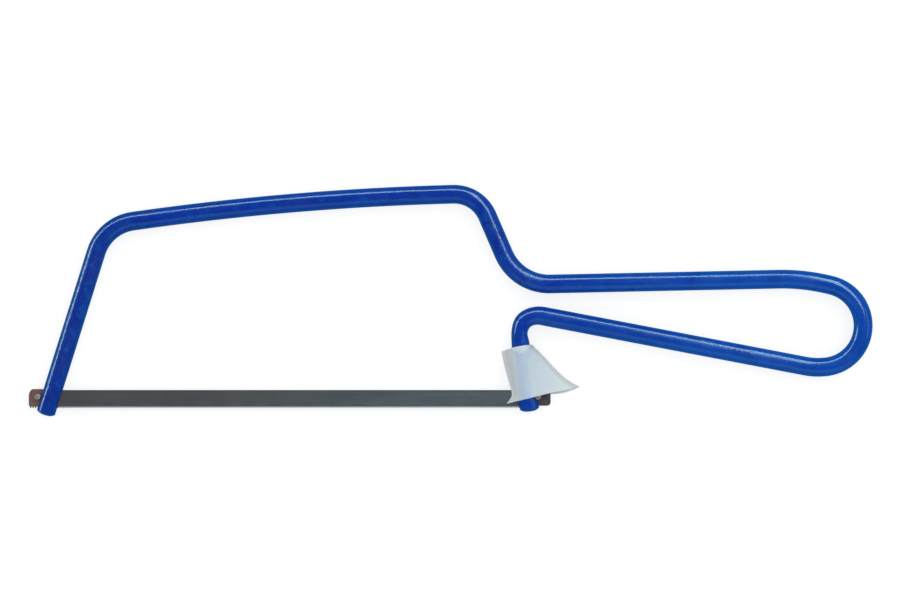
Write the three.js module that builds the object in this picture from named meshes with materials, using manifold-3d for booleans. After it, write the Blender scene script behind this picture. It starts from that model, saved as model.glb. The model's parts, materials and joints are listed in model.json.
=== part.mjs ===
// A small hacksaw. One bent steel rod is both the bow and the handle, and a
// thin blade hangs from its two slotted legs by a pin at each end.
//
// Millimetres. +X runs along the blade towards the handle, +Y from the blade
// to the top of the bow, and +Z through the saw's thickness. The saw lies on
// its side: z = 0 is the surface under it, and the origin is the middle of
// its length and height there.
import * as THREE from 'three';
import { mergeVertices } from 'three/addons/utils/BufferGeometryUtils.js';
import Module from 'manifold-3d';

const manifold = await Module();
manifold.setup();

// ---- driving dimensions -------------------------------------------------

// The rod, as it would be cut and bent: straights in millimetres, bends as a
// centreline radius and a turn in degrees, anticlockwise positive.
const ROD_DIAMETER = 6;
const FRONT_LEG_HEADING = 72.6;
const FRONT_LEG = 53.6;
const FRONT_CORNER = { radius: 14.4, turn: -64.5 };
const TOP_BAR = { radius: 890, turn: -6.6 };
const REAR_CORNER = { radius: 11.5, turn: -68.1 };
const NECK = 13.3;
const HANDLE_CORNER = { radius: 15.7, turn: 67.8 };
const UPPER_GRIP = 72.6;
const NOSE_START = { radius: 63.6, turn: -15.7 };
const NOSE = { radius: 13.2, turn: -158 };
const NOSE_END = { radius: 22.2, turn: -18.3 };
const LOWER_GRIP = 85.1;
const LEG_CORNER = { radius: 6.2, turn: 108.1 };
const REAR_LEG = 23;

// The bow springs at the middle of its top bar, where the rod is parted.
const SPRING_GAP = 0.4;

// The blade, its teeth and its pins.
const BLADE_WIDTH = 5.75;
const BLADE_THICKNESS = 0.65;
const TOOTH_PITCH = 25.4 / 32;
const TOOTH_DEPTH = 0.5;
const PIN_DIAMETER = 1.9;
const PIN_LENGTH = 4.6;
const PIN_BELOW_BACK = 2.1;
const FRONT_OVERHANG = 3.2;
const TAIL_OVERHANG = 4.1;
const TAIL_RELIEF = 0.75;
const TAIL_CORNER = 1.1;

// How the pins sit on the legs: a pin's centre is outside the rod's surface
// by its standoff, and each leg ends below its pin.
const FRONT_PIN_STANDOFF = 0.9;
const REAR_PIN_STANDOFF = 0.3;
const FRONT_LEG_BELOW_PIN = 4.2;
const SLOT_DEPTH = 10.5;
const NOTCH_MOUTH = 2.4;

// Clearance between pieces that touch.
const GAP = 0.3;

// The paper label folded round the rear leg, measured from the rear pin.
const LABEL_CORNERS = [
  [-11.3, 14.4],
  [-2.1, 16.7],
  [2.6, 11.8],
  [7.4, 7],
  [13.3, 3.2],
  [-9.9, -2.2],
  [-8.2, 0.2],
  [-8.5, 2.6],
];
const LABEL_WALL = 0.2;
const LABEL_EDGE_THICKNESS = 1.9;
const LABEL_LEFT_REACH = 7.5;
const LABEL_RIGHT_REACH = 18;

// Mesh fineness: sides round the rod and a pin, and degrees to each step of a
// bend. The long bow of the top bar turns little, so its steps are finer.
const ROD_SIDES = 16;
const PIN_SIDES = 20;
const BEND_STEP = 8;
const TOP_BAR_STEP = 1.1;

// ---- derived dimensions -------------------------------------------------

const ROD_RADIUS = ROD_DIAMETER / 2;
const PIN_RADIUS = PIN_DIAMETER / 2;
const LABEL_OUTER_RADIUS = ROD_RADIUS + GAP + LABEL_WALL;
const FRONT_PIN = new THREE.Vector2(0, 0);
const AXIS_HEIGHT = LABEL_OUTER_RADIUS;

const blue = new THREE.MeshStandardMaterial({
  color: 0x0b3fb0, roughness: 0.25, metalness: 0,
});
const darkSteel = new THREE.MeshStandardMaterial({
  color: 0x474b53, roughness: 0.5, metalness: 0.8,
});
const pinSteel = new THREE.MeshStandardMaterial({
  color: 0x8a7670, roughness: 0.45, metalness: 0.85,
});
const paper = new THREE.MeshStandardMaterial({
  color: 0xc2cfdc, roughness: 0.8, metalness: 0,
});

// ---- solids -------------------------------------------------------------

function toSolid(geometry) {
  const bare = geometry.clone();
  bare.deleteAttribute('normal');
  bare.deleteAttribute('uv');
  const welded = mergeVertices(bare, 1e-4);
  return new manifold.Manifold(new manifold.Mesh({
    numProp: 3,
    vertProperties: new Float32Array(welded.attributes.position.array),
    triVerts: new Uint32Array(welded.index.array),
  }));
}

function toGeometry(solid) {
  const mesh = solid.getMesh();
  const geometry = new THREE.BufferGeometry();
  geometry.setAttribute('position', new THREE.BufferAttribute(mesh.vertProperties, 3));
  geometry.setIndex(new THREE.BufferAttribute(mesh.triVerts, 1));
  geometry.computeVertexNormals();
  return geometry;
}

function subtractAll(body, cuts) {
  return cuts.reduce((solid, cut) => solid.subtract(toSolid(cut)), toSolid(body));
}

function unitVector(degrees) {
  const angle = THREE.MathUtils.degToRad(degrees);
  return new THREE.Vector2(Math.cos(angle), Math.sin(angle));
}

// A prism of a flat outline, as thick as asked and centred on z = 0.
function slab(shape, thickness) {
  const geometry = new THREE.ExtrudeGeometry(shape, { depth: thickness, bevelEnabled: false });
  return geometry.translate(0, 0, -thickness / 2);
}

// A cylinder along Z, centred on z = 0 at a point.
function roundBar(centre, radius, length) {
  const geometry = new THREE.CylinderGeometry(radius, radius, length, PIN_SIDES);
  return geometry.rotateX(Math.PI / 2).translate(centre.x, centre.y, 0);
}

// ---- the rod's centreline -----------------------------------------------

// Walks a bending schedule from a point and a heading. Every section gives
// the stations that it needs: one for a straight, and one every few degrees
// round a bend.
function walkRod(start, sections) {
  const stations = [start];
  for (const section of sections) {
    const from = stations[stations.length - 1];
    if (section.turn === undefined) {
      const end = unitVector(from.heading).multiplyScalar(section.length).add(from.point);
      stations.push({ point: end, heading: from.heading });
      continue;
    }
    const side = Math.sign(section.turn);
    const toCentre = unitVector(from.heading + 90 * side).multiplyScalar(section.radius);
    const centre = toCentre.clone().add(from.point);
    const steps = Math.ceil(Math.abs(section.turn) / (section.step ?? BEND_STEP));
    for (let step = 1; step <= steps; step += 1) {
      const heading = from.heading + (section.turn * step) / steps;
      const spoke = unitVector(heading - 90 * side).multiplyScalar(section.radius);
      stations.push({ point: spoke.add(centre), heading });
    }
  }
  return stations;
}

// A path whose steps are the stations, so that the rod is mitred only there.
class StationPath extends THREE.Curve {
  constructor(stations) {
    super();
    this.stations = stations;
  }

  stationAt(u) {
    return this.stations[Math.round(u * (this.stations.length - 1))];
  }

  getPointAt(u, target = new THREE.Vector3()) {
    const { point } = this.stationAt(u);
    return target.set(point.x, point.y, 0);
  }

  getTangentAt(u, target = new THREE.Vector3()) {
    const direction = unitVector(this.stationAt(u).heading);
    return target.set(direction.x, direction.y, 0);
  }
}

function rodAlong(stations) {
  const section = new THREE.Shape();
  for (let side = 0; side < ROD_SIDES; side += 1) {
    const spoke = unitVector((360 * (side + 0.5)) / ROD_SIDES).multiplyScalar(ROD_RADIUS);
    if (side === 0) section.moveTo(spoke.x, spoke.y);
    else section.lineTo(spoke.x, spoke.y);
  }
  return new THREE.ExtrudeGeometry(section, {
    steps: stations.length - 1,
    extrudePath: new StationPath(stations),
  });
}

const springTurn = THREE.MathUtils.radToDeg(SPRING_GAP / TOP_BAR.radius);
const halfTopBar = {
  radius: TOP_BAR.radius,
  turn: (TOP_BAR.turn + springTurn) / 2,
  step: TOP_BAR_STEP,
};

const frontLegDown = unitVector(FRONT_LEG_HEADING).negate();
const frontLegInward = unitVector(FRONT_LEG_HEADING - 90);
const frontLegEnd = frontLegInward.clone().multiplyScalar(ROD_RADIUS + FRONT_PIN_STANDOFF)
  .addScaledVector(frontLegDown, FRONT_LEG_BELOW_PIN)
  .add(FRONT_PIN);

const bowStations = walkRod({ point: frontLegEnd, heading: FRONT_LEG_HEADING }, [
  { length: FRONT_LEG },
  FRONT_CORNER,
  halfTopBar,
]);
const springStations = walkRod(bowStations[bowStations.length - 1], [
  { radius: TOP_BAR.radius, turn: -springTurn, step: TOP_BAR_STEP },
]);
const handleStations = walkRod(springStations[springStations.length - 1], [
  halfTopBar,
  REAR_CORNER,
  { length: NECK },
  HANDLE_CORNER,
  { length: UPPER_GRIP },
  NOSE_START,
  NOSE,
  NOSE_END,
  { length: LOWER_GRIP },
  LEG_CORNER,
  { length: REAR_LEG },
]);

// The rear pin is level with the front one, against the rear leg's far side.
const rearLegEnd = handleStations[handleStations.length - 1];
const rearLegDown = unitVector(rearLegEnd.heading);
const rearLegOutward = unitVector(rearLegEnd.heading + 90);
const rearAxisToPin = rearLegOutward.clone().multiplyScalar(ROD_RADIUS + REAR_PIN_STANDOFF);
const rearLegBelowPin = (FRONT_PIN.y - rearAxisToPin.y - rearLegEnd.point.y) / -rearLegDown.y;
const REAR_PIN = rearLegDown.clone().multiplyScalar(-rearLegBelowPin)
  .add(rearLegEnd.point)
  .add(rearAxisToPin);

// ---- frame --------------------------------------------------------------

// The saw cut in a leg's end that the blade hangs in.
function legSlot(legEnd, heading) {
  const across = ROD_DIAMETER + 2;
  const cut = new THREE.BoxGeometry(2 * SLOT_DEPTH, across, BLADE_THICKNESS + 2 * GAP);
  return cut.rotateZ(THREE.MathUtils.degToRad(heading)).translate(legEnd.x, legEnd.y, 0);
}

function pinSeat(pin) {
  return roundBar(pin, PIN_RADIUS + GAP, ROD_DIAMETER + 2);
}

// The vee filed in the rear leg, from the pin's seat out to the rod's surface.
function rearNotch() {
  const seat = -(PIN_RADIUS + GAP);
  const mouth = 2;
  const slope = NOTCH_MOUTH / (REAR_PIN_STANDOFF - seat);
  const outline = [[0, seat], [slope * (mouth - seat), mouth], [-slope * (mouth - seat) / 2, mouth]];
  const corners = outline.map(([down, out]) => REAR_PIN.clone()
    .addScaledVector(rearLegDown, down)
    .addScaledVector(rearLegOutward, out));
  return slab(new THREE.Shape(corners), ROD_DIAMETER + 2);
}

function rodBow() {
  return toGeometry(subtractAll(rodAlong(bowStations), [
    legSlot(frontLegEnd, FRONT_LEG_HEADING),
    pinSeat(FRONT_PIN),
  ]));
}

function rodHandle() {
  return toGeometry(subtractAll(rodAlong(handleStations), [
    legSlot(rearLegEnd.point, rearLegEnd.heading),
    pinSeat(REAR_PIN),
    rearNotch(),
  ]));
}

// ---- blade --------------------------------------------------------------

function bladeOutline() {
  const back = PIN_BELOW_BACK;
  const tips = back - BLADE_WIDTH;
  const gullets = tips + TOOTH_DEPTH;
  const noseX = FRONT_PIN.x - FRONT_OVERHANG;
  const tailX = REAR_PIN.x + TAIL_OVERHANG;
  const tailFoot = tips + TAIL_RELIEF;
  const toothedEnd = rearLegEnd.point.x;

  const outline = new THREE.Shape();
  outline.moveTo(tailX, back);
  outline.lineTo(noseX + 2.1, back);
  outline.bezierCurveTo(noseX + 0.5, back - 1, noseX - 0.4, back - 3.4, noseX + 0.8, gullets);
  const teeth = Math.floor((toothedEnd - noseX - 1) / TOOTH_PITCH);
  for (let tooth = 0; tooth < teeth; tooth += 1) {
    const x = noseX + 1 + tooth * TOOTH_PITCH;
    outline.lineTo(x, tips);
    outline.lineTo(x + TOOTH_PITCH * 0.75, gullets);
  }
  outline.lineTo(toothedEnd, tailFoot);
  outline.lineTo(tailX - TAIL_CORNER, tailFoot);
  outline.absarc(tailX - TAIL_CORNER, tailFoot + TAIL_CORNER, TAIL_CORNER, -Math.PI / 2, 0);
  return outline;
}

function blade() {
  return toGeometry(subtractAll(slab(bladeOutline(), BLADE_THICKNESS), [
    roundBar(FRONT_PIN, PIN_RADIUS + GAP, 2),
    roundBar(REAR_PIN, PIN_RADIUS + GAP, 2),
  ]));
}

function bladePin(centre) {
  return roundBar(centre, PIN_RADIUS, PIN_LENGTH);
}

// ---- label --------------------------------------------------------------

// The section of the folded paper, across the leg: a round hump over the rod,
// and flanks that run straight down to where its two layers meet.
function labelSection() {
  const edge = LABEL_EDGE_THICKNESS / 2;
  const hump = 55;
  const section = new THREE.Shape();
  section.moveTo(-LABEL_LEFT_REACH, -edge);
  section.absarc(0, 0, LABEL_OUTER_RADIUS, THREE.MathUtils.degToRad(-90 - hump),
    THREE.MathUtils.degToRad(-90 + hump));
  section.lineTo(LABEL_RIGHT_REACH, -edge);
  section.lineTo(LABEL_RIGHT_REACH, edge);
  section.absarc(0, 0, LABEL_OUTER_RADIUS, THREE.MathUtils.degToRad(90 - hump),
    THREE.MathUtils.degToRad(90 + hump));
  section.lineTo(-LABEL_LEFT_REACH, edge);
  return section;
}

// Stands a section that is drawn across the leg on the leg's own axis.
function alongRearLeg(geometry) {
  return geometry
    .rotateX(Math.PI / 2)
    .rotateZ(THREE.MathUtils.degToRad(rearLegEnd.heading + 90))
    .translate(rearLegEnd.point.x, rearLegEnd.point.y, 0);
}

function paperLabel() {
  const corners = LABEL_CORNERS.map(([x, y]) => new THREE.Vector2(x, y).add(REAR_PIN));
  const flat = toSolid(slab(new THREE.Shape(corners), 3 * ROD_DIAMETER));
  const reach = 4 * REAR_LEG;
  const tent = toSolid(alongRearLeg(slab(labelSection(), reach)));
  const rodBore = alongRearLeg(slab(
    new THREE.Shape().absarc(0, 0, ROD_RADIUS + GAP, 0, 2 * Math.PI),
    reach,
  ));
  const bladeRoom = new THREE.Shape([
    new THREE.Vector2(REAR_PIN.x - reach, PIN_BELOW_BACK + GAP),
    new THREE.Vector2(REAR_PIN.x - reach, -reach),
    new THREE.Vector2(REAR_PIN.x + TAIL_OVERHANG + GAP, -reach),
    new THREE.Vector2(REAR_PIN.x + TAIL_OVERHANG + GAP, PIN_BELOW_BACK + 2 * GAP),
  ]);
  const label = flat.intersect(tent)
    .subtract(toSolid(rodBore))
    .subtract(toSolid(slab(bladeRoom, BLADE_THICKNESS + 2 * GAP)))
    .subtract(toSolid(roundBar(REAR_PIN, PIN_RADIUS + GAP, PIN_LENGTH + 2 * GAP)));
  return toGeometry(label);
}

// ---- assembly -----------------------------------------------------------

const saw = new THREE.Group();

function add(name, geometry, material) {
  const mesh = new THREE.Mesh(geometry, material);
  mesh.name = name;
  saw.add(mesh);
}

add('rod_bow', rodBow(), blue);
add('rod_handle', rodHandle(), blue);
add('blade', blade(), darkSteel);
add('front_pin', bladePin(FRONT_PIN), pinSteel);
add('rear_pin', bladePin(REAR_PIN), pinSteel);
add('paper_label', paperLabel(), paper);

const size = new THREE.Box3().setFromObject(saw);
const middle = size.getCenter(new THREE.Vector3());
saw.position.set(-middle.x, -middle.y, AXIS_HEIGHT);
saw.updateMatrixWorld(true);

export default saw;
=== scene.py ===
"""Looks for a small hacksaw: an enamelled rod, a toothed blade on two pins and a folded paper label.

The saw lies on its side on a pale floor, and the camera looks straight down at it. Metres throughout.
"""
import json
import math

import bmesh
import bpy
from mathutils import Matrix, Vector, noise


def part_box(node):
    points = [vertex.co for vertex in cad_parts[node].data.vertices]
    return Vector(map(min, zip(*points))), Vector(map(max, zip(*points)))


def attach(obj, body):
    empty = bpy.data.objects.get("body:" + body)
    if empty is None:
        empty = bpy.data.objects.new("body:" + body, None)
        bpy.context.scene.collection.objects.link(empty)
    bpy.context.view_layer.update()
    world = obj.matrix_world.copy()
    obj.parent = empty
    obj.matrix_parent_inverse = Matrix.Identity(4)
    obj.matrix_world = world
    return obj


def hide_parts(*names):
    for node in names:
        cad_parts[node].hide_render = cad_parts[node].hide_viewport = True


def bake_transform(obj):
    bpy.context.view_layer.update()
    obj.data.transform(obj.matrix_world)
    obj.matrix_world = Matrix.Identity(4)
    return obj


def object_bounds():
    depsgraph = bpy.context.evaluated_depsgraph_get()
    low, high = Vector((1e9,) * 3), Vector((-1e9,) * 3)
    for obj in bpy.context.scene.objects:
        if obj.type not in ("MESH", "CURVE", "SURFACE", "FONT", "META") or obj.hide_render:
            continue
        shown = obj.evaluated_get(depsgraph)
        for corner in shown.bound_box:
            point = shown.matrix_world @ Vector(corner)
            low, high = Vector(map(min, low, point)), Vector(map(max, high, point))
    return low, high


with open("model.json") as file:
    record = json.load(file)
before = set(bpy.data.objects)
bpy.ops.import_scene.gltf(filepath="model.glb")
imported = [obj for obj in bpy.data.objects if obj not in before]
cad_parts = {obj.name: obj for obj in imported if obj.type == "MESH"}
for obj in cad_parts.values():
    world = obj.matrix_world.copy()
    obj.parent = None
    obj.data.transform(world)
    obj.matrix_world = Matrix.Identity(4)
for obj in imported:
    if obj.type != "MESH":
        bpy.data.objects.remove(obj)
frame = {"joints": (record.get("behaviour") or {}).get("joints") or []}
cad_low, cad_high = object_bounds()

MM = 0.001
UP = Vector((0, 0, 1))

# ---- places taken from the frame -----------------------------------------


def box_middle(node):
    low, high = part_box(node)
    return (Vector(low) + Vector(high)) / 2


FRONT_PIN = box_middle("front_pin")
REAR_PIN = box_middle("rear_pin")
BLADE_LOW, BLADE_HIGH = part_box("blade")
MID_Z = FRONT_PIN.z
SPRING = next(j for j in frame["joints"] if j["name"] == "frame_spring")

# ---- the rod's bending schedule, the same as the model's ------------------

ROD_RADIUS = 3.0 * MM
FRONT_LEG_HEADING = 72.6
FRONT_PIN_STANDOFF = 0.9 * MM
FRONT_LEG_BELOW_PIN = 4.2 * MM
# A straight has its length. A bend has its middle line's radius and its turn in degrees, left positive.
SCHEDULE = [
    ("straight", 53.6 * MM),
    ("bend", 14.4 * MM, -64.5),
    ("bend", 890 * MM, -6.6),
    ("bend", 11.5 * MM, -68.1),
    ("straight", 13.3 * MM),
    ("bend", 15.7 * MM, 67.8),
    ("straight", 72.6 * MM),
    ("bend", 63.6 * MM, -15.7),
    ("bend", 13.2 * MM, -158.0),
    ("bend", 22.2 * MM, -18.3),
    ("straight", 85.1 * MM),
    ("bend", 6.2 * MM, 108.1),
    ("straight", 23.0 * MM),
]
BEND_STEP_DEGREES = 4
REAR_PIN_STANDOFF = 0.3 * MM
SLOT_DEPTH = 10.5 * MM
SLOT_WIDTH = 1.25 * MM


def clamped(value):
    return max(0.0, min(1.0, value))


def smooth_share(value, low, high):
    share = clamped((value - low) / (high - low))
    return share * share * (3 - 2 * share)


def heading_vector(degrees):
    angle = math.radians(degrees)
    return Vector((math.cos(angle), math.sin(angle), 0))


def straight_stations(point, heading, distance, step, length):
    """Stations along a straight stretch that starts at a point."""
    count = max(1, round(length / step))
    for i in range(1, count + 1):
        along = length * i / count
        yield point + heading_vector(heading) * along, heading, distance + along


def bend_stations(point, heading, distance, step, radius, turn):
    """Stations round a bend that starts at a point and turns left for a positive angle."""
    side = math.copysign(90, turn)
    centre = point + heading_vector(heading + side) * radius
    length = radius * math.radians(abs(turn))
    count = max(2, round(length / step), round(abs(turn) / BEND_STEP_DEGREES))
    for i in range(1, count + 1):
        now = heading + turn * i / count
        yield centre + heading_vector(now - side) * radius, now, distance + length * i / count


def centreline(step):
    """Points, headings and distances along the rod, from the front leg's end to the rear leg's."""
    along = heading_vector(FRONT_LEG_HEADING)
    inward = heading_vector(FRONT_LEG_HEADING - 90)
    start = FRONT_PIN + inward * (ROD_RADIUS + FRONT_PIN_STANDOFF) - along * FRONT_LEG_BELOW_PIN
    stations = [(start, FRONT_LEG_HEADING, 0.0)]
    stretches = {"straight": straight_stations, "bend": bend_stations}
    for kind, *sizes in SCHEDULE:
        stations += list(stretches[kind](*stations[-1], step, *sizes))
    return stations


# ---- mesh helpers ----------------------------------------------------------

TOUCHING = 0.001 * MM


def new_object(name, mesh):
    obj = bpy.data.objects.new(name, mesh)
    bpy.context.scene.collection.objects.link(obj)
    return obj


def mesh_from_bmesh(name, bm):
    bmesh.ops.recalc_face_normals(bm, faces=bm.faces)
    mesh = bpy.data.meshes.new(name)
    bm.to_mesh(mesh)
    bm.free()
    return mesh


def shade_smooth(mesh, sharp_degrees):
    mesh.polygons.foreach_set("use_smooth", [True] * len(mesh.polygons))
    mesh.set_sharp_from_angle(angle=math.radians(sharp_degrees))


def apply_modifiers(obj):
    graph = bpy.context.evaluated_depsgraph_get()
    mesh = bpy.data.meshes.new_from_object(obj.evaluated_get(graph))
    old = obj.data
    obj.modifiers.clear()
    obj.data = mesh
    bpy.data.meshes.remove(old)


def cut_away(obj, cutters):
    for cutter in cutters:
        boolean = obj.modifiers.new("cut", "BOOLEAN")
        boolean.operation = "DIFFERENCE"
        boolean.solver = "EXACT"
        boolean.object = cutter
    apply_modifiers(obj)
    for cutter in cutters:
        mesh = cutter.data
        bpy.data.objects.remove(cutter)
        bpy.data.meshes.remove(mesh)


# ---- the rod -----------------------------------------------------------------

ROD_SIDES = 48
ROD_STEP = 0.8 * MM
ROD_SHARP_DEGREES = 35
SWAGE_START = 466.5 * MM
SWAGE_LENGTH = 3.0 * MM
SWAGE_WIDENING = 0.05
SWAGE_SHIFT = 0.22 * MM
BEND_SQUEEZES = ((0.13, 446.8 * MM, 3.2 * MM), (0.04, 441.0 * MM, 4.0 * MM))
BEND_SHIFT = 0.38 * MM
BEND_SHIFT_MIDDLE = 442.8 * MM
BEND_SHIFT_SPREAD = 3.0 * MM
SEAT_RADIUS = 1.25 * MM
NOTCH_REACH = 2.0 * MM
NOTCH_DROP = 2.4 * MM
DOME_HEIGHT = 0.9 * MM
DOME_BASE = 0.12 * MM
DOME_RADII = (0.25, 0.45, 0.6, 0.72, 0.82, 0.9, 0.96, 1.0)


def bell(distance, middle, spread):
    return math.exp(-((distance - middle) / spread) ** 2)


def swage_share(distance):
    return smooth_share(distance, SWAGE_START, SWAGE_START + SWAGE_LENGTH)


def swell(distance):
    """In-plane width of the rod: squeezed at the rear leg's tight bend and swaged out at its end."""
    width = 1 + SWAGE_WIDENING * swage_share(distance)
    for depth, middle, spread in BEND_SQUEEZES:
        width -= depth * bell(distance, middle, spread)
    return width


def sideways(distance):
    """Sideways drift of the rod's middle line, to the left of its run."""
    bend = bell(distance, BEND_SHIFT_MIDDLE, BEND_SHIFT_SPREAD)
    return SWAGE_SHIFT * swage_share(distance) - BEND_SHIFT * bend


def add_ring(bm, centre, heading, radius, distance):
    """One ring of the rod's skin."""
    across = heading_vector(heading + 90)
    middle = centre + across * sideways(distance)
    width = radius * swell(distance)
    ring = []
    for i in range(ROD_SIDES):
        angle = 2 * math.pi * i / ROD_SIDES
        spot = middle + across * (width * math.cos(angle)) + UP * (radius * math.sin(angle))
        ring.append(bm.verts.new(spot))
    return ring


def dome_rings():
    """Distances beyond the flat cut, and radii, of the rod's worn end, from its middle outwards."""
    for share in DOME_RADII:
        yield DOME_HEIGHT * (1 - share ** 3) - DOME_BASE, ROD_RADIUS * share


def rod_rings():
    """Centre, heading, radius and distance of each ring, from the front leg's end to the rear leg's."""
    stations = centreline(ROD_STEP)
    start, first_heading, _ = stations[0]
    end, last_heading, length = stations[-1]
    dome = list(dome_rings())
    for out, radius in dome:
        yield start - heading_vector(first_heading) * out, first_heading, radius, -out
    for spot, heading, distance in stations[1:-1]:
        yield spot, heading, ROD_RADIUS, distance
    for out, radius in reversed(dome):
        yield end + heading_vector(last_heading) * out, last_heading, radius, length + out


def skin_between(bm, uv, first, second):
    """Faces between two rings, with the distance along the rod and the share round it as their UV."""
    (near, near_distance), (far, far_distance) = first, second
    for i in range(ROD_SIDES):
        j = (i + 1) % ROD_SIDES
        face = bm.faces.new((near[i], near[j], far[j], far[i]))
        places = ((near_distance, i), (near_distance, i + 1), (far_distance, i + 1), (far_distance, i))
        for loop, (distance, side) in zip(face.loops, places):
            loop[uv].uv = (distance, side / ROD_SIDES)


def rod_mesh():
    bm = bmesh.new()
    uv = bm.loops.layers.uv.new("along_round")
    loops = [(add_ring(bm, *ring), ring[3]) for ring in rod_rings()]
    for first, second in zip(loops, loops[1:]):
        skin_between(bm, uv, first, second)
    bm.faces.new(loops[0][0][::-1])
    bm.faces.new(loops[-1][0])
    return mesh_from_bmesh("frame_rod", bm)


def box_cutter(centre, heading, size):
    bm = bmesh.new()
    bmesh.ops.create_cube(bm, size=1)
    turn = Matrix.Rotation(math.radians(heading), 4, "Z")
    place = Matrix.Translation(centre) @ turn @ Matrix.Diagonal((*size, 1))
    bmesh.ops.transform(bm, matrix=place, verts=bm.verts)
    return new_object("cutter", mesh_from_bmesh("cutter", bm))


def prism_cutter(outline):
    """A prism of an outline in the saw's plane, right through the rod's thickness."""
    bm = bmesh.new()
    through = UP * (2 * ROD_RADIUS)
    low = [bm.verts.new(spot - through) for spot in outline]
    high = [bm.verts.new(spot + through) for spot in outline]
    count = len(outline)
    for i in range(count):
        j = (i + 1) % count
        bm.faces.new((low[i], low[j], high[j], high[i]))
    bm.faces.new(low[::-1])
    bm.faces.new(high)
    return new_object("cutter", mesh_from_bmesh("cutter", bm))


def circle_outline(centre, radius, count=40):
    return [centre + heading_vector(360 * i / count) * radius for i in range(count)]


def notch_outline(pin, down, out):
    """The vee filed beside the rear pin, with a flank that slopes out below it."""
    width = NOTCH_REACH + SEAT_RADIUS
    drop = width * NOTCH_DROP / (REAR_PIN_STANDOFF + SEAT_RADIUS)
    return [
        pin - out * SEAT_RADIUS,
        pin + down * drop + out * NOTCH_REACH,
        pin - down * (drop / 2) + out * NOTCH_REACH,
    ]


def build_rod():
    """The whole rod, with a slot and a pin seat in each end and a notch beside the rear pin."""
    stations = centreline(ROD_STEP)
    front_end, front_heading, _ = stations[0]
    rear_end, rear_heading, _ = stations[-1]
    rod = new_object("frame_rod", rod_mesh())
    slot = (2 * SLOT_DEPTH, 4 * ROD_RADIUS, SLOT_WIDTH)
    notch = notch_outline(REAR_PIN, heading_vector(rear_heading), heading_vector(rear_heading + 90))
    cut_away(rod, [
        box_cutter(front_end, front_heading, slot),
        box_cutter(rear_end, rear_heading, slot),
        prism_cutter(circle_outline(FRONT_PIN, SEAT_RADIUS)),
        prism_cutter(circle_outline(REAR_PIN, SEAT_RADIUS)),
        prism_cutter(notch),
    ])
    shade_smooth(rod.data, ROD_SHARP_DEGREES)
    return rod


# ---- the blade ---------------------------------------------------------------

TOOTH_PITCH = 25.4 / 32 * MM
TOOTH_DEPTH = 0.52 * MM
SET_WAVE = 9.0 * MM
SET_AMOUNT = 0.13 * MM
SET_BAND = 1.9 * MM
SET_FULL_BELOW = 0.3 * MM
NOSE_LENGTH = 1.45 * MM
NOSE_DROP = 2.4 * MM
NOSE_RISE = 0.33 * MM
NOSE_RISE_ENDS = (3.6 * MM, 8.0 * MM)
TOE_LENGTH = 0.45 * MM
TOE_LIFT = 0.8 * MM
TAIL_RELIEF = 0.75 * MM
TAIL_CORNER = 1.1 * MM
TAIL_SHARES = (0.1, 0.4, 0.7, 1.0)
TAIL_CORNER_DEGREES = (30, 50, 65, 78, 90)
NOSE_SHARES = (0.0, 0.02, 0.08, 0.18, 0.32, 0.5, 0.75)
TOOTH_SHAPE = ((0.0, 0.0), (0.34, 0.0), (0.47, 0.7), (0.58, 1.0), (0.78, 1.0), (0.9, 0.8))
ROW_HEIGHTS = (0.0, 0.5 * MM, 1.0 * MM, 1.5 * MM, 2.2 * MM, 3.6 * MM)
FULL_SPAN = 4.3 * MM
TOP_ROW_SHARE = 0.85
BACK_BEVEL = 0.03 * MM
BACK_BEVEL_SHARE = 0.05
STEEL_SHARP_DEGREES = 30


def round_off(share):
    """Fall of a quarter circle, from 0 where it starts to 1 at its far end."""
    return 1 - math.sqrt(max(0.0, 1 - share * share))


def back_edge(x):
    """Height of the blade's back: a little proud at the nose, and rounded off in front of it."""
    nose = BLADE_LOW[0]
    rise_start, rise_end = NOSE_RISE_ENDS
    proud = BLADE_HIGH[1] + NOSE_RISE * (1 - smooth_share(x, nose + rise_start, nose + rise_end))
    return proud - NOSE_DROP * round_off(max(0.0, (nose + NOSE_LENGTH - x) / NOSE_LENGTH))


def nose_columns():
    nose, tips = BLADE_LOW[0], BLADE_LOW[1]
    for share in NOSE_SHARES:
        x = nose + share * TOE_LENGTH
        yield x, back_edge(x), tips + TOOTH_DEPTH + TOE_LIFT * round_off(1 - share)


def tooth_columns(start, teeth):
    for tooth in range(teeth):
        for along, depth in TOOTH_SHAPE:
            x = start + (tooth + along) * TOOTH_PITCH
            yield x, back_edge(x), BLADE_LOW[1] + depth * TOOTH_DEPTH


def tail_columns(start):
    """The toothless end, with a rounded lower corner."""
    back, tips = BLADE_HIGH[1], BLADE_LOW[1]
    corner_start = BLADE_HIGH[0] - TAIL_CORNER
    foot = tips + TAIL_RELIEF
    yield start, back, tips + TOOTH_DEPTH
    for share in TAIL_SHARES:
        yield start + share * (corner_start - start), back, foot
    for degrees in TAIL_CORNER_DEGREES:
        angle = math.radians(degrees)
        yield corner_start + TAIL_CORNER * math.sin(angle), back, foot + TAIL_CORNER * (1 - math.cos(angle))


def blade_columns():
    """(x, back edge, lower edge) from the blade's nose to its tail. The teeth stop at the rear leg."""
    toothed_from = BLADE_LOW[0] + TOE_LENGTH
    rear_leg_end = centreline(ROD_STEP)[-1][0]
    teeth = int((rear_leg_end.x - toothed_from) / TOOTH_PITCH)
    columns = list(nose_columns())
    columns += tooth_columns(toothed_from, teeth)
    columns += tail_columns(toothed_from + teeth * TOOTH_PITCH)
    return columns


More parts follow.
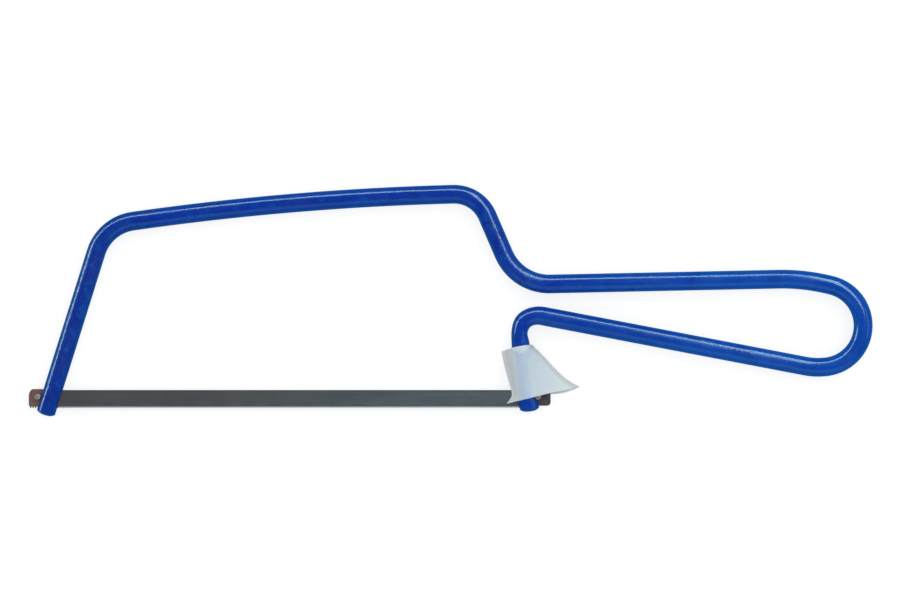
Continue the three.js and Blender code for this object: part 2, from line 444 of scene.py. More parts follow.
def row_heights(top, bottom):
    """Heights of one column's vertices, closer together near the teeth."""
    span = top - bottom
    if span > FULL_SPAN:
        heights = [bottom + min(height, span * TOP_ROW_SHARE) for height in ROW_HEIGHTS]
    else:
        heights = [bottom + span * height / FULL_SPAN for height in ROW_HEIGHTS]
    return heights + [top - min(BACK_BEVEL, span * BACK_BEVEL_SHARE), top]


def set_wave(x, y):
    """Sideways set of the toothed edge, fading out up the blade."""
    share = clamped((BLADE_LOW[1] + SET_BAND - y) / (SET_BAND - SET_FULL_BELOW))
    return SET_AMOUNT * math.sin(2 * math.pi * x / SET_WAVE) * share


def blade_face(bm, columns, side):
    """One face of the blade as columns of vertices, on the upper side (1) or the lower one (-1)."""
    half = (BLADE_HIGH[2] - BLADE_LOW[2]) / 2
    grid = []
    for x, top, bottom in columns:
        heights = row_heights(top, bottom)
        insets = [0.0] * (len(heights) - 1) + [BACK_BEVEL]
        column = []
        for y, inset in zip(heights, insets):
            column.append(bm.verts.new((x, y, MID_Z + set_wave(x, y) + side * (half - inset))))
        grid.append(column)
    return grid


def blade_mesh():
    columns = blade_columns()
    bm = bmesh.new()
    front, behind = (blade_face(bm, columns, side) for side in (1, -1))
    rows = len(front[0])
    for a in range(len(columns) - 1):
        for r in range(rows - 1):
            bm.faces.new((front[a][r], front[a + 1][r], front[a + 1][r + 1], front[a][r + 1]))
            bm.faces.new((behind[a][r], behind[a][r + 1], behind[a + 1][r + 1], behind[a + 1][r]))
        bm.faces.new((front[a][0], behind[a][0], behind[a + 1][0], front[a + 1][0]))
        bm.faces.new((front[a][-1], front[a + 1][-1], behind[a + 1][-1], behind[a][-1]))
    for a in (0, len(columns) - 1):
        for r in range(rows - 1):
            corners = (front[a][r], front[a][r + 1], behind[a][r + 1], behind[a][r])
            bm.faces.new(corners if a else corners[::-1])
    bmesh.ops.remove_doubles(bm, verts=bm.verts, dist=TOUCHING)
    return mesh_from_bmesh("saw_blade", bm)


def build_blade():
    blade = new_object("saw_blade", blade_mesh())
    shade_smooth(blade.data, STEEL_SHARP_DEGREES)
    return blade


# ---- the blade's pins ----------------------------------------------------------

PIN_SIDES = 36
PIN_CHAMFER = 0.22 * MM
PIN_DOME = 0.05 * MM
PIN_INNER_SHARE = 0.55
PIN_INNER_DROP = 0.02 * MM
PIN_CHAMFER_MIDDLE = (0.3, 0.45)


def pin_profile(radius, length):
    """(radius, height) down one side of a pin with a small chamfer and a faint dome on each end."""
    half = length / 2
    inward, below = PIN_CHAMFER_MIDDLE
    upper = [
        (0.0, half),
        (PIN_INNER_SHARE * radius, half - PIN_INNER_DROP),
        (radius - PIN_CHAMFER, half - PIN_DOME),
        (radius - inward * PIN_CHAMFER, half - below * PIN_CHAMFER),
        (radius, half - PIN_CHAMFER - PIN_DOME),
        (radius, 0.0),
    ]
    return upper + [(r, -z) for r, z in upper[-2::-1]]


def pin_ring(bm, centre, radius, height):
    """A ring of vertices, or PIN_SIDES times the same vertex on the axis."""
    middle = centre + UP * height
    if radius == 0:
        return [bm.verts.new(middle)] * PIN_SIDES
    return [bm.verts.new(middle + heading_vector(360 * i / PIN_SIDES) * radius) for i in range(PIN_SIDES)]


def build_pin(name, node):
    low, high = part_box(node)
    bm = bmesh.new()
    profile = pin_profile((high[0] - low[0]) / 2, high[2] - low[2])
    rings = [pin_ring(bm, box_middle(node), radius, height) for radius, height in profile]
    for above, below in zip(rings, rings[1:]):
        for i in range(PIN_SIDES):
            j = (i + 1) % PIN_SIDES
            corners = (above[i], above[j], below[j], below[i])
            bm.faces.new(list(dict.fromkeys(corners)))
    pin = new_object(name, mesh_from_bmesh(name, bm))
    shade_smooth(pin.data, STEEL_SHARP_DEGREES)
    return pin


# ---- the label ---------------------------------------------------------------

PAPER = 0.11 * MM
LABEL_ACROSS = 64
LABEL_DOWN = 44
LABEL_SHARP_DEGREES = 50
LABEL_LEFT = ((-11.55, 14.4), (-10.6, 9.6), (-9.25, 4.6), (-8.3, 0.6), (-9.9, -2.27))
LABEL_RIGHT = ((-1.95, 16.6), (1.85, 12.85), (5.65, 8.7), (9.4, 5.35), (13.4, 3.05))
EDGE_STEPS = 40
UPPER_BULGE = 0.46 * MM
UPPER_BULGE_SHARE = 0.2
LOWER_BULGE = 0.28 * MM
LOWER_BULGE_FROM = 0.8
BACK_SAG = 0.72 * MM
BACK_SAG_FROM = 0.55
BACK_SAG_START = 3.6 * MM
BACK_SAG_LENGTH = 9.7 * MM
CROWN = ROD_RADIUS + 0.1 * MM
TAUT_MARGIN = 1.02
LOWEST = 0.09 * MM
LAYER_GAP = 0.07 * MM
CLEAR_OF_BLADE = 0.48 * MM
CLEAR_ABOVE_BLADE = 3.0 * MM
CLEAR_FADE = 2.4 * MM
FOLD_REACH = 1.3 * MM
FOLD_HEIGHT = 0.42 * MM
LIP_DEPTH = 1.9 * MM
LIP_RISE = 0.26 * MM
LIP_FADE = 5.0 * MM
LIP_MARGIN = 1.02
WAVE_HEIGHT = 0.10 * MM
WAVE_SCALE = 330
WAVE_LIFT = 0.35
WAVE_LAYER_STEP = 0.01
LOOSE_SPAN = (2.6 * MM, 6.0 * MM)


def curve_through(points, t):
    """A smooth curve through evenly spaced points measured in millimetres from the rear pin."""
    spots = [REAR_PIN + Vector((x * MM, y * MM, 0)) for x, y in points]
    place = t * (len(spots) - 1)
    i = min(int(place), len(spots) - 2)
    s = place - i
    before = spots[i - 1] if i else spots[0] * 2 - spots[1]
    after = spots[i + 2] if i + 2 < len(spots) else spots[-1] * 2 - spots[-2]
    a, b = spots[i], spots[i + 1]
    bend = before * 2 - a * 5 + b * 4 - after
    return (a * 2 + (b - before) * s + bend * s * s + (a * 3 - before - b * 3 + after) * s * s * s) / 2


def tent_height(offset, edge, crown):
    """Height of taut paper that runs over the rod and down to a fold at an edge."""
    reach = max(abs(edge), crown * TAUT_MARGIN)
    slope = math.acos(crown / reach)
    touch = crown * math.cos(slope)
    if abs(offset) <= touch:
        return math.sqrt(crown * crown - offset * offset)
    return crown * math.sin(slope) * max(0.0, (reach - abs(offset)) / (reach - touch))


def leg_axis():
    """The rear leg's lower end and the direction across it, towards the tail."""
    end, heading, _ = centreline(ROD_STEP)[-1]
    return end, heading_vector(heading + 90)


def over_rod(offset, margin):
    """1 on the rod's middle line, falling to 0 just past its sides."""
    return max(0.0, 1 - (offset / (margin * ROD_RADIUS)) ** 2)


def blade_clearance(spot, to_fold):
    """Height that keeps the paper off the blade, which runs between the two layers."""
    near_blade = smooth_share(BLADE_HIGH[1] + CLEAR_ABOVE_BLADE - spot.y, 0.0, CLEAR_FADE)
    return LOWEST + (CLEAR_OF_BLADE - LOWEST) * near_blade * min(1.0, to_fold * 2)


def lip_height(offset, drop):
    """Rise of the front layer over the rod, up to a crease below its top edge and fading below that."""
    width = over_rod(offset, LIP_MARGIN)
    crease = LIP_DEPTH * width
    if drop < crease:
        return LIP_RISE * width * drop / max(crease, TOUCHING)
    return LIP_RISE * width * (1 - smooth_share(drop - crease, 0.0, LIP_FADE))


def loose_wave(spot, offset, to_fold, side):
    """Waves in the paper where it is away from the rod and the fold."""
    wave = noise.noise(Vector((spot.x, spot.y, side * WAVE_LAYER_STEP)) * WAVE_SCALE)
    return WAVE_HEIGHT * (wave + WAVE_LIFT) * smooth_share(abs(offset), *LOOSE_SPAN) * to_fold


def paper_height(spot, left, right, drop, side, axis):
    """How far one layer of the label stands from the saw's middle plane."""
    leg_end, across = axis
    offset = (spot - leg_end).dot(across)
    edge = ((left if offset < 0 else right) - leg_end).dot(across)
    to_fold = min(1.0, (right - spot).length / FOLD_REACH)
    fold = FOLD_HEIGHT * (1 - round_off(1 - to_fold)) + LAYER_GAP
    height = max(tent_height(offset, edge, CROWN), fold, blade_clearance(spot, to_fold))
    if side > 0:
        height += lip_height(offset, drop)
    return height + loose_wave(spot, offset, to_fold, side)


def closer_at_ends(i, count):
    """A share from 0 to 1, with smaller steps near both ends."""
    return 0.5 - 0.5 * math.cos(math.pi * i / count)


def edge_bulge(spot, side, s, t):
    """How far a layer's upper and lower edges bulge up from a straight line, or sag below it."""
    if side < 0:
        sag = math.sin(math.pi * clamped((spot.x - REAR_PIN.x - BACK_SAG_START) / BACK_SAG_LENGTH))
        return -BACK_SAG * sag * smooth_share(t, BACK_SAG_FROM, 1.0)
    upper = UPPER_BULGE * (1 - smooth_share(t, 0.0, UPPER_BULGE_SHARE))
    lower = LOWER_BULGE * smooth_share(t, LOWER_BULGE_FROM, 1.0)
    return math.sin(math.pi * s) * (upper + lower)


def label_row(bm, t, side, axis):
    """One row of one layer's vertices, from the left edge to the fold."""
    left, right = curve_through(LABEL_LEFT, t), curve_through(LABEL_RIGHT, t)
    top_left, top_right = curve_through(LABEL_LEFT, 0), curve_through(LABEL_RIGHT, 0)
    row = []
    for column in range(LABEL_ACROSS + 1):
        s = closer_at_ends(column, LABEL_ACROSS)
        spot = left.lerp(right, s)
        drop = (top_left.lerp(top_right, s) - spot).length
        height = paper_height(spot, left, right, drop, side, axis)
        y = spot.y + edge_bulge(spot, side, s, t)
        row.append(bm.verts.new((spot.x, y, MID_Z + side * height)))
    return row


def label_mesh():
    """One strip of paper folded at its right edge, with a layer in front of the rod and one behind."""
    axis = leg_axis()
    bm = bmesh.new()
    grid = []
    for row in range(LABEL_DOWN + 1):
        t = closer_at_ends(row, LABEL_DOWN)
        grid.append(label_row(bm, t, 1, axis) + label_row(bm, t, -1, axis)[::-1])
    for above, below in zip(grid, grid[1:]):
        for i in range(len(above) - 1):
            bm.faces.new((above[i], below[i], below[i + 1], above[i + 1]))
    mesh = bpy.data.meshes.new("folded_label")
    bm.to_mesh(mesh)
    bm.free()
    return mesh


CONTACT_SHIFT = 0.2 * MM
CONTACT_FADE = (0.6 * MM, 2.4 * MM)
FLAP_FADE = (2.6 * MM, 4.2 * MM)
# How far the painted shade along the right fold reaches.
FOLD_SHADE_FADE = (0.2 * MM, 1.7 * MM)
# Softness and width of the painted highlight on the label's upper lip.
LIP_HIGHLIGHT_SOFTNESS = 0.5 * MM
LIP_HIGHLIGHT_MARGIN = 1.05


def paint_label(mesh):
    """Stores where the paper lies on the rod, its left flap, its right fold for painted shade, its upper
    lip for a painted highlight and its inner faces, which are painted lighter against their shade.
    """
    leg_end, across = leg_axis()
    top_left, top_right = curve_through(LABEL_LEFT, 0), curve_through(LABEL_RIGHT, 0)
    down = (top_right - top_left).cross(UP).normalized()
    right_edge = [curve_through(LABEL_RIGHT, step / EDGE_STEPS).xy for step in range(EDGE_STEPS + 1)]
    marks = {"contact": [], "flap": [], "fold": [], "lip": [], "inside": []}
    for vertex in mesh.vertices:
        offset = (vertex.co - leg_end).dot(across)
        from_fold = min((vertex.co.xy - spot).length for spot in right_edge)
        crease = LIP_DEPTH * over_rod(offset, LIP_HIGHLIGHT_MARGIN)
        below_top = (vertex.co - top_left).dot(down)
        faces_middle = vertex.normal.z * (vertex.co.z - MID_Z) < 0
        marks["contact"].append(1 - smooth_share(abs(offset + CONTACT_SHIFT), *CONTACT_FADE))
        marks["flap"].append(smooth_share(-offset, *FLAP_FADE))
        # painted shade along the right fold
        marks["fold"].append(1 - smooth_share(from_fold, *FOLD_SHADE_FADE))
        # painted highlight on the upper lip, below the top edge
        marks["lip"].append(1 - smooth_share(below_top, crease - LIP_HIGHLIGHT_SOFTNESS, crease))
        # inner faces, painted lighter to lift the shade they lie in
        marks["inside"].append(1.0 if faces_middle else 0.0)
    for name, values in marks.items():
        mesh.attributes.new(name, "FLOAT", "POINT").data.foreach_set("value", values)


def build_label():
    label = new_object("folded_label", label_mesh())
    solidify = label.modifiers.new("paper", "SOLIDIFY")
    solidify.thickness = PAPER
    solidify.offset = 0
    apply_modifiers(label)
    paint_label(label.data)
    shade_smooth(label.data, LABEL_SHARP_DEGREES)
    return label


# ---- node trees ----------------------------------------------------------------

# A mix node gives the sockets of every data type the same names, so its colour sockets go by number.
MIX_FIRST = 6
MIX_SECOND = 7
MIX_RESULT = 2


class Nodes:
    """A short way to write a node tree. A colour is a tuple of red, green and blue."""

    def __init__(self, tree):
        self.tree = tree

    def add(self, kind, **settings):
        node = self.tree.nodes.new(kind)
        for key, value in settings.items():
            if key in node.inputs:
                node.inputs[key].default_value = value
            else:
                setattr(node, key, value)
        return node

    def put(self, value, socket):
        """Sets a socket to a number or a colour, or links another node's output to it."""
        if isinstance(value, tuple):
            socket.default_value = (*value, 1)
        elif isinstance(value, (int, float)):
            socket.default_value = value
        else:
            self.tree.links.new(value, socket)

    def split(self, vector):
        """A vector's X, Y and Z."""
        node = self.add("ShaderNodeSeparateXYZ")
        self.put(vector, node.inputs["Vector"])
        return node.outputs["X"], node.outputs["Y"], node.outputs["Z"]

    def stretched(self, vector, scale):
        node = self.add("ShaderNodeMapping")
        self.put(vector, node.inputs["Vector"])
        node.inputs["Scale"].default_value = scale
        return node.outputs["Vector"]

    def noise(self, vector, scale, detail=2.0, roughness=0.5):
        node = self.add("ShaderNodeTexNoise", Scale=scale, Detail=detail, Roughness=roughness)
        self.put(vector, node.inputs["Vector"])
        return node.outputs["Fac"]

    def spread(self, value, low, high, start, end):
        """Goes smoothly from start to end while a value goes from low to high."""
        node = self.add("ShaderNodeMapRange", interpolation_type="SMOOTHSTEP")
        sockets = ("Value", "From Min", "From Max", "To Min", "To Max")
        for name, number in zip(sockets, (value, low, high, start, end)):
            self.put(number, node.inputs[name])
        return node.outputs["Result"]

    def rise(self, value, low, high, top=1.0):
        return self.spread(value, low, high, 0.0, top)

    def calculate(self, operation, first, second):
        node = self.add("ShaderNodeMath", operation=operation)
        self.put(first, node.inputs[0])
        self.put(second, node.inputs[1])
        return node.outputs["Value"]

    def mix(self, share, first, second):
        """A colour between two others."""
        node = self.add("ShaderNodeMix", data_type="RGBA")
        self.put(share, node.inputs["Factor"])
        self.put(first, node.inputs[MIX_FIRST])
        self.put(second, node.inputs[MIX_SECOND])
        return node.outputs[MIX_RESULT]

    def bump(self, height, distance, strength, after=None):
        node = self.add("ShaderNodeBump", Strength=strength, Distance=distance)
        self.put(height, node.inputs["Height"])
        if after is not None:
            self.put(after, node.inputs["Normal"])
        return node.outputs["Normal"]

    def background(self, colour, strength=1.0):
        node = self.add("ShaderNodeBackground")
        self.put(colour, node.inputs["Color"])
        self.put(strength, node.inputs["Strength"])
        return node.outputs["Background"]

    def choose(self, share, first, second):
        """The first shader where the share is 0, and the second where it is 1."""
        node = self.add("ShaderNodeMixShader")
        for source, socket in zip((share, first, second), node.inputs):
            self.put(source, socket)
        return node.outputs["Shader"]


class Surface(Nodes):
    """The node tree of a new material, with its shader and the place on the object."""

    def __init__(self, name):
        self.material = bpy.data.materials.new(name)
        self.material.use_nodes = True
        super().__init__(self.material.node_tree)
        self.shader = self.tree.nodes["Principled BSDF"]
        self.place = self.add("ShaderNodeTexCoord").outputs["Object"]

    def look(self, name, value):
        self.put(value, self.shader.inputs[name])


# ---- the rod's enamel ----------------------------------------------------------

# Painted light falloff: the leg, bow and handle blues go from dark to pale along X.
ENAMEL_LEG_PAINTED_SHADE = (0.0, 0.030, 0.31)
ENAMEL_BOW = (0.0, 0.035, 0.36)
ENAMEL_HANDLE_PAINTED_LIGHT = (0.0, 0.068, 0.45)
ENAMEL_DARK = (0.0, 0.018, 0.25)
ENAMEL_LIGHT = (0.0, 0.088, 0.46)
ENAMEL_CHIP = (0.10, 0.045, 0.07)
LEG_TO_BOW_FALLOFF = (-115 * MM, -85 * MM)
BOW_TO_HANDLE_FALLOFF = (0.0, 100 * MM)
ROUGH_ZONES = ((3 * MM, 62 * MM, 1.0), (184 * MM, 216 * MM, 0.8), (354 * MM, 392 * MM, 0.5))
ZONE_FADE = 6 * MM
SMOOTH_SHARE = 0.15
PATCHINESS = (0.35, 0.65)
CHIP_THRESHOLD = (0.775, 0.79)
CHIP_STRENGTH = 0.8
STREAK_STRETCH = (70, 12, 1)
WRINKLE_STRETCH = (1150, 7, 1)
ENAMEL_ROUGHNESS = (0.13, 0.21)
ZONE_ROUGHNESS = 0.05
GRAZING = (0.5, 0.85)
GRAZING_ROUGHNESS = 0.5


def rough_zones(m, distance):
    """How strongly the paint is wrinkled at a distance along the rod."""
    total = None
    for start, end, strength in ROUGH_ZONES:
        rise = m.rise(distance, start - ZONE_FADE, start + ZONE_FADE, strength)
        fall = m.spread(distance, end - ZONE_FADE, end + ZONE_FADE, 1.0, 0.0)
        zone = m.calculate("MULTIPLY", rise, fall)
        total = zone if total is None else m.calculate("MAXIMUM", total, zone)
    return m.calculate("MAXIMUM", total, SMOOTH_SHARE)


def enamel_colour(m, zones):
    """Deep blue on the front leg and paler on the handle, a painted light falloff, with patches and a few
    chips.
    """
    x, _, _ = m.split(m.place)
    # painted light falloff: darker blue on the front leg, paler towards the handle
    body = m.mix(m.rise(x, *LEG_TO_BOW_FALLOFF), ENAMEL_LEG_PAINTED_SHADE, ENAMEL_BOW)
    body = m.mix(m.rise(x, *BOW_TO_HANDLE_FALLOFF), body, ENAMEL_HANDLE_PAINTED_LIGHT)
    patchy = m.spread(zones, SMOOTH_SHARE, 1.0, *PATCHINESS)
    mottle = m.rise(m.noise(m.place, scale=150, detail=3), low=0.42, high=0.70)
    body = m.mix(m.calculate("MULTIPLY", mottle, patchy), body, ENAMEL_DARK)
    cloud = m.rise(m.noise(m.place, scale=420, detail=3, roughness=0.6), low=0.48, high=0.72)
    body = m.mix(m.calculate("MULTIPLY", cloud, patchy), body, ENAMEL_LIGHT)
    chips = m.rise(m.noise(m.place, scale=330), *CHIP_THRESHOLD, CHIP_STRENGTH)
    return m.mix(chips, body, ENAMEL_CHIP)


def enamel_roughness(m, streaks, zones):
    """Glossy in streaks, a little duller where the paint is wrinkled and much duller at grazing angles."""
    streaky = m.spread(streaks, 0.3, 0.7, *ENAMEL_ROUGHNESS)
    rough = m.calculate("ADD", streaky, m.calculate("MULTIPLY", zones, ZONE_ROUGHNESS))
    facing = m.add("ShaderNodeLayerWeight", Blend=0.5).outputs["Facing"]
    return m.calculate("ADD", rough, m.rise(facing, *GRAZING, GRAZING_ROUGHNESS))


def enamel_relief(m, along, streaks, zones):
    """Shallow streaks, with orange peel and lengthwise wrinkles in the rough zones."""
    wrinkles = m.noise(m.stretched(along, WRINKLE_STRETCH), scale=1.0, detail=3, roughness=0.6)
    peel = m.noise(m.place, scale=900)
    relief = m.calculate("MULTIPLY", m.calculate("ADD", wrinkles, peel), zones)
    normal = m.bump(streaks, distance=0.03 * MM, strength=0.5)
    return m.bump(relief, distance=0.13 * MM, strength=0.6, after=normal)


def enamel():
    """Glossy royal-blue paint, brushed on: wrinkled on the front leg and neck, streaked elsewhere."""
    m = Surface("blue_enamel")
    along = m.add("ShaderNodeUVMap", uv_map="along_round").outputs["UV"]
    distance, _, _ = m.split(along)
    zones = rough_zones(m, distance)
    streaks = m.noise(m.stretched(along, STREAK_STRETCH), scale=1.0, detail=3)
    m.look("Base Color", enamel_colour(m, zones))
    m.look("Roughness", enamel_roughness(m, streaks, zones))
    m.look("Normal", enamel_relief(m, along, streaks, zones))
    m.look("IOR", 1.5)
    return m.material


# ---- the blade's and the pins' steel -------------------------------------------

STEEL_FRONT = (0.106, 0.092, 0.104)
STEEL_REAR = (0.116, 0.133, 0.163)
STEEL_GRAIN = (0.082, 0.084, 0.100)
STEEL_CLOUD = (0.122, 0.112, 0.130)
STEEL_MOTTLE = (0.085, 0.090, 0.112)
# Painted shade along the blade's back edge.
STEEL_BACK_EDGE_SHADE = (0.055, 0.06, 0.08)
NOSE_LOWER = (0.25, 0.150, 0.110)
NOSE_UPPER = (0.31, 0.095, 0.095)
NOSE_SPOTS = (0.21, 0.165, 0.145)
TAIL_LOWER = (0.075, 0.080, 0.095)
TAIL_UPPER = (0.135, 0.090, 0.125)
TAIL_SPOTS = (0.075, 0.068, 0.075)
GRAIN_STRETCH = (60, 2500, 2500)
REAR_TONE_SPAN = (BLADE_LOW[0] + 50 * MM, BLADE_HIGH[0] - 20 * MM)
BACK_EDGE_SHADE_SPAN = (BLADE_HIGH[1] - 0.45 * MM, BLADE_HIGH[1] - 0.05 * MM)
TINT_SPAN = (BLADE_LOW[1] + 1.0 * MM, BLADE_HIGH[1] - 0.6 * MM)
NOSE_TINT_SPAN = (BLADE_LOW[0] + 3.0 * MM, BLADE_LOW[0] + 12.0 * MM)
TAIL_TINT_SPAN = (BLADE_HIGH[0] - 9.0 * MM, BLADE_HIGH[0] - 4.0 * MM)
NOSE_TINT_STRENGTH = 0.9
NOSE_SPOT_STRENGTH = 0.6
STEEL_METAL = 0.45


def rolled_steel(m, grain, mottle):
    """Dark steel that turns bluer towards the tail, with painted shade along its back edge."""
    x, y, _ = m.split(m.place)
    cloud = m.noise(m.place, scale=90)
    steel = m.mix(m.rise(x, *REAR_TONE_SPAN), STEEL_FRONT, STEEL_REAR)
    steel = m.mix(m.spread(grain, 0.3, 0.7, start=0.35, end=0.0), steel, STEEL_GRAIN)
    steel = m.mix(m.rise(cloud, 0.45, 0.70, top=0.35), steel, STEEL_CLOUD)
    steel = m.mix(m.rise(mottle, 0.5, 0.75, top=0.35), steel, STEEL_MOTTLE)
    # painted shade darkening the back edge
    return m.mix(m.rise(y, *BACK_EDGE_SHADE_SPAN, top=0.75), steel, STEEL_BACK_EDGE_SHADE)


def heat_tints(m, steel, mottle):
    """Brown and red at the nose and a faint purple at the tail, both spotted."""
    x, y, _ = m.split(m.place)
    height = m.rise(y, *TINT_SPAN)
    spots = m.rise(mottle, low=0.4, high=0.62)
    nose = m.mix(height, NOSE_LOWER, NOSE_UPPER)
    nose = m.mix(m.calculate("MULTIPLY", spots, NOSE_SPOT_STRENGTH), nose, NOSE_SPOTS)
    steel = m.mix(m.spread(x, *NOSE_TINT_SPAN, start=NOSE_TINT_STRENGTH, end=0.0), steel, nose)
    tail = m.mix(height, TAIL_LOWER, TAIL_UPPER)
    tail = m.mix(spots, tail, TAIL_SPOTS)
    return m.mix(m.rise(x, *TAIL_TINT_SPAN), steel, tail)


def blade_steel():
    """Dark rolled steel with a heat tint at both ends."""
    m = Surface("blade_steel")
    grain = m.noise(m.stretched(m.place, GRAIN_STRETCH), scale=1.0, detail=3)
    mottle = m.noise(m.place, scale=260, detail=4, roughness=0.6)
    m.look("Base Color", heat_tints(m, rolled_steel(m, grain, mottle), mottle))
    m.look("Roughness", m.spread(grain, 0.2, 0.8, start=0.40, end=0.55))
    m.look("Metallic", STEEL_METAL)
    normal = m.bump(grain, distance=0.01 * MM, strength=0.5)
    m.look("Normal", m.bump(mottle, distance=0.02 * MM, strength=0.3, after=normal))
    return m.material


PIN_BRIGHT = (0.55, 0.42, 0.38)
PIN_RUSTY = (0.30, 0.20, 0.18)


def pin_steel():
    """Brownish drawn wire, bright in some spots and rusty in others."""
    m = Surface("pin_steel")
    mottle = m.noise(m.place, scale=900, detail=3, roughness=0.6)
    m.look("Base Color", m.mix(m.rise(mottle, low=0.35, high=0.65), PIN_BRIGHT, PIN_RUSTY))
    m.look("Roughness", m.spread(mottle, 0.3, 0.7, start=0.3, end=0.5))
    m.look("Metallic", STEEL_METAL)
    m.look("Normal", m.bump(mottle, distance=0.03 * MM, strength=0.4))
    return m.material


# ---- the label's paper ---------------------------------------------------------

PAPER_LEFT = (0.52, 0.62, 0.70)
PAPER_RIGHT = (0.66, 0.74, 0.76)
PAPER_CLOUD = (0.60, 0.66, 0.78)
PAPER_FIBRE = (0.70, 0.74, 0.77)
PAPER_TONE_SPAN = (24 * MM, 38 * MM)
FIBRE_STRETCH = (900, 2200, 1500)
PAPER_MARKS = (
    ("contact", 0.75, (0.42, 0.54, 0.72)),
    ("flap", 0.85, (0.565, 0.555, 0.565)),
    # painted shade at the fold
    ("fold", 0.70, (0.47, 0.46, 0.44)),
    # painted highlight on the lip
    ("lip", 0.60, (0.72, 0.80, 0.82)),
    # painted light lifting the shaded inner faces
    ("inside", 0.90, (0.90, 0.86, 0.85)),
)


def paper_colour(m, fibre, cloud):
    """Bluish white, with a tone of its own for each of the marks that paint_label stores."""
    x, _, _ = m.split(m.place)
    tone = m.mix(m.rise(x, *PAPER_TONE_SPAN), PAPER_LEFT, PAPER_RIGHT)
    tone = m.mix(m.rise(cloud, 0.38, 0.66, top=0.5), tone, PAPER_CLOUD)
    for mark, strength, colour in PAPER_MARKS:
        share = m.add("ShaderNodeAttribute", attribute_name=mark).outputs["Fac"]
        tone = m.mix(m.calculate("MULTIPLY", share, strength), tone, colour)
    return m.mix(m.rise(fibre, 0.35, 0.7, top=0.3), tone, PAPER_FIBRE)


def label_paper():
    """Thin paper: the rod shows through and the flap is greyer; the fold gets painted shade, the lip a
    painted highlight, and the shaded inner faces are painted lighter.
    """
    m = Surface("label_paper")
    fibre = m.noise(m.stretched(m.place, FIBRE_STRETCH), scale=1.0, detail=4, roughness=0.6)
    cloud = m.noise(m.place, scale=240, detail=3)
    m.look("Base Color", paper_colour(m, fibre, cloud))
    m.look("Roughness", m.spread(fibre, 0.3, 0.7, start=0.5, end=0.7))
    normal = m.bump(fibre, distance=0.02 * MM, strength=0.4)
    m.look("Normal", m.bump(cloud, distance=0.10 * MM, strength=0.3, after=normal))
    return m.material


# ---- stage ----------------------------------------------------------------------

# The saw's length as a share of the picture's width, then the camera's own millimetres.
LENGTH_SHARE = 0.9372
LENS = 135.0
SENSOR = 36.0
CAMERA_X = -0.18 * MM
CAMERA_Y = 0.1 * MM
FARTHEST_SEEN = 20.0
FLOOR_HALF_SIDE = 6.0
FLOOR_TONES = ((0.31, 0.31, 0.31), (0.33, 0.33, 0.33))
FLOOR_ROUGHNESS = 0.9
FLOOR_GLOW = 0.78
WHITE = (1, 1, 1)


def add_camera():
    """Straight above the saw, with +Y up the picture."""
    data = bpy.data.cameras.new("camera")
    data.lens = LENS
    data.sensor_width = SENSOR
    data.clip_end = FARTHEST_SEEN
    camera = bpy.data.objects.new("camera", data)
    bpy.context.scene.collection.objects.link(camera)
    width = (cad_high[0] - cad_low[0]) / LENGTH_SHARE
    camera.location = (CAMERA_X, CAMERA_Y, MID_Z + width * LENS / SENSOR)
    bpy.context.scene.camera = camera


def floor_white():
    """Pale and nearly self-lit, so that it stays even and takes only a faint shadow."""
    m = Surface("floor_white")
    m.look("Base Color", m.mix(m.noise(m.place, scale=300, detail=3), *FLOOR_TONES))
    m.look("Roughness", FLOOR_ROUGHNESS)
    m.look("Specular IOR Level", 0.0)
    m.look("Emission Color", WHITE)
    m.look("Emission Strength", FLOOR_GLOW)
    return m.material


def add_floor():
    bm = bmesh.new()
    bmesh.ops.create_grid(bm, x_segments=1, y_segments=1, size=FLOOR_HALF_SIDE)
    floor = new_object("floor", mesh_from_bmesh("floor", bm))
    floor.location.z = cad_low[2]
    floor.data.materials.append(floor_white())
    floor.visible_glossy = False
    floor.visible_diffuse = False


def add_panel(name, size, location, aim, long_side, power, colour=WHITE):
    """A rectangular lamp facing a point, with its long side along a direction."""
    data = bpy.data.lights.new(name, "AREA")
    data.shape = "RECTANGLE"
    data.size, data.size_y = size
    data.energy = power
    data.color = colour
    lamp = bpy.data.objects.new(name, data)
    bpy.context.scene.collection.objects.link(lamp)
    back = (Vector(location) - Vector(aim)).normalized()
    side = Vector(long_side)
    side = (side - back * side.dot(back)).normalized()
    turn = Matrix((side, back.cross(side), back)).transposed()
    lamp.matrix_world = Matrix.Translation(location) @ turn.to_4x4()
    lamp.visible_camera = False
    return lamp


BLUE_GLEAM = (0.58, 0.92, 0.74)
GREEN_GLEAM = (0.35, 0.9, 0.6)
ALONG_X = (1, 0, 0)
ALONG_Y = (0, 1, 0)


def add_gleam(name, size, location, aim, long_side, radiance, colour=BLUE_GLEAM):
    """A strip that is only seen in reflections."""
    power = radiance * math.pi * size[0] * size[1]
    lamp = add_panel(name, size, location, aim, long_side, power, colour)
    lamp.visible_diffuse = False


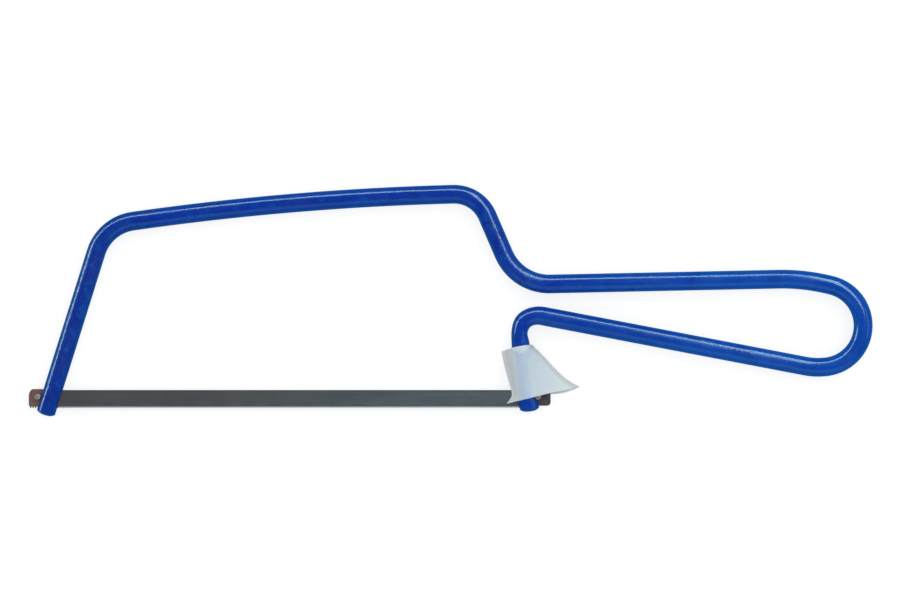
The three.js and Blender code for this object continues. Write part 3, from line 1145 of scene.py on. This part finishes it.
def add_lights():
    """Strips at the saw's sides give the narrow gleams, and a soft panel gives the shading."""
    add_gleam("bow_side_strip", size=(4.2, 0.31), location=(-1.35, 1.13, 0.70), aim=(-1.35, 0, 0),
              long_side=ALONG_X, radiance=10)
    add_gleam("front_leg_strip", size=(0.75, 0.44), location=(-1.55, 0.42, 0.36), aim=(-0.12, 0, 0),
              long_side=ALONG_Y, radiance=9.5)
    add_gleam("neck_strip", size=(0.8, 0.26), location=(0.50, 0.5, 0.85), aim=(0, 0.1, 0),
              long_side=ALONG_Y, radiance=11)
    add_gleam("nose_strip", size=(0.8, 0.25), location=(1.4, 0.05, 0.80), aim=(0, 0.05, 0),
              long_side=ALONG_Y, radiance=2.8)
    add_gleam("blade_side_panel", size=(3.0, 1.3), location=(0.0, -1.4, 1.0), aim=(0, 0, 0),
              long_side=ALONG_X, radiance=0.8, colour=GREEN_GLEAM)
    soft = add_panel("soft_key", size=(1.6, 1.6), location=(0.9, 1.2, 1.3), aim=(0, 0, 0),
                     long_side=ALONG_X, power=8)
    soft.visible_glossy = False


ROOM_COLOUR = (0.96, 0.98, 1.0)
ROOM_BELOW = 0.40
ROOM_ABOVE = 0.82
ROOM_FADE = (-0.2, 0.3)
SKY_GLOSS = (0.02, 0.035, 0.06)
HORIZON_GLOSS = (0.05, 0.43, 0.56)
HORIZON_TOP = 0.3


def add_world():
    """A bright even room for soft shading, a dim one in reflections, and white behind the floor."""
    world = bpy.data.worlds.new("world")
    bpy.context.scene.world = world
    world.use_nodes = True
    n = Nodes(world.node_tree)
    n.tree.nodes.clear()
    _, _, up = n.split(n.add("ShaderNodeTexCoord").outputs["Generated"])
    room = n.background(ROOM_COLOUR, n.spread(up, *ROOM_FADE, ROOM_BELOW, ROOM_ABOVE))
    gloss = n.background(n.mix(n.rise(up, 0.0, HORIZON_TOP), HORIZON_GLOSS, SKY_GLOSS))
    backdrop = n.background(WHITE)
    ray = n.add("ShaderNodeLightPath")
    lighting = n.choose(ray.outputs["Is Glossy Ray"], room, gloss)
    everything = n.choose(ray.outputs["Is Camera Ray"], lighting, backdrop)
    n.put(everything, n.add("ShaderNodeOutputWorld").inputs["Surface"])


# ---- assembly ---------------------------------------------------------------------

add_camera()
add_floor()
add_lights()
add_world()
bpy.context.scene.view_settings.view_transform = "Standard"

rod = build_rod()
rod.data.materials.append(enamel())
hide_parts("rod_bow", "rod_handle")
hinge = Vector(SPRING["pos_m"])
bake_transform(rod)

blade = build_blade()
blade.data.materials.append(blade_steel())
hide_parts("blade")
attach(blade, "blade")

steel = pin_steel()
for name, node in (("front_blade_pin", "front_pin"), ("rear_blade_pin", "rear_pin")):
    pin = build_pin(name, node)
    pin.data.materials.append(steel)
    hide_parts(node)
    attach(pin, "blade")

label = build_label()
label.data.materials.append(label_paper())
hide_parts("paper_label")
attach(label, "frame")
